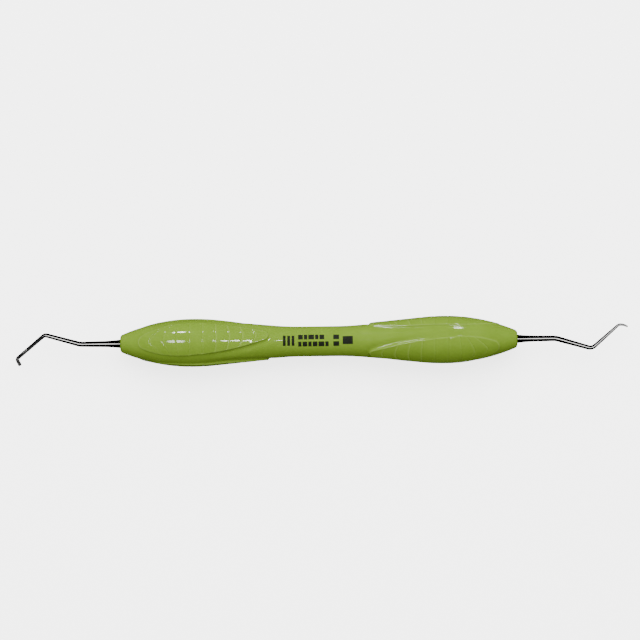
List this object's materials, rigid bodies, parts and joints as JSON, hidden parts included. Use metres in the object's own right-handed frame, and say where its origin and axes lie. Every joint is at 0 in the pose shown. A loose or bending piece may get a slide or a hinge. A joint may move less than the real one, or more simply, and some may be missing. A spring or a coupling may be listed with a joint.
{
  "type": "hand scaler",
  "caption": "Double-ended dental scaler: soft two-bulge grip with raised leaf pads, bent steel hoe tip at one end and curved pointed hook tip at the other.",
  "frame": {"origin": "on the grip's axis at the middle of its slim waist", "axes": "+X along the grip towards the hook tip, +Y across it in the plane that both tips bend in, on the side the hook rises to, +Z square to that plane"},
  "size_m": [0.1698, 0.0134, 0.0134],
  "materials": {
    "grip": "satin",
    "tube_steel": "satin",
    "bush_steel": "satin",
    "tip_steel": "polished"
  },
  "bodies": {
    "root": {"grip_sleeve": "grip", "core_tube": "tube_steel", "hoe_end_bush": "bush_steel", "hook_end_bush": "bush_steel", "hoe_tip": "tip_steel", "hook_tip": "tip_steel"}
  },
  "joints": []
}
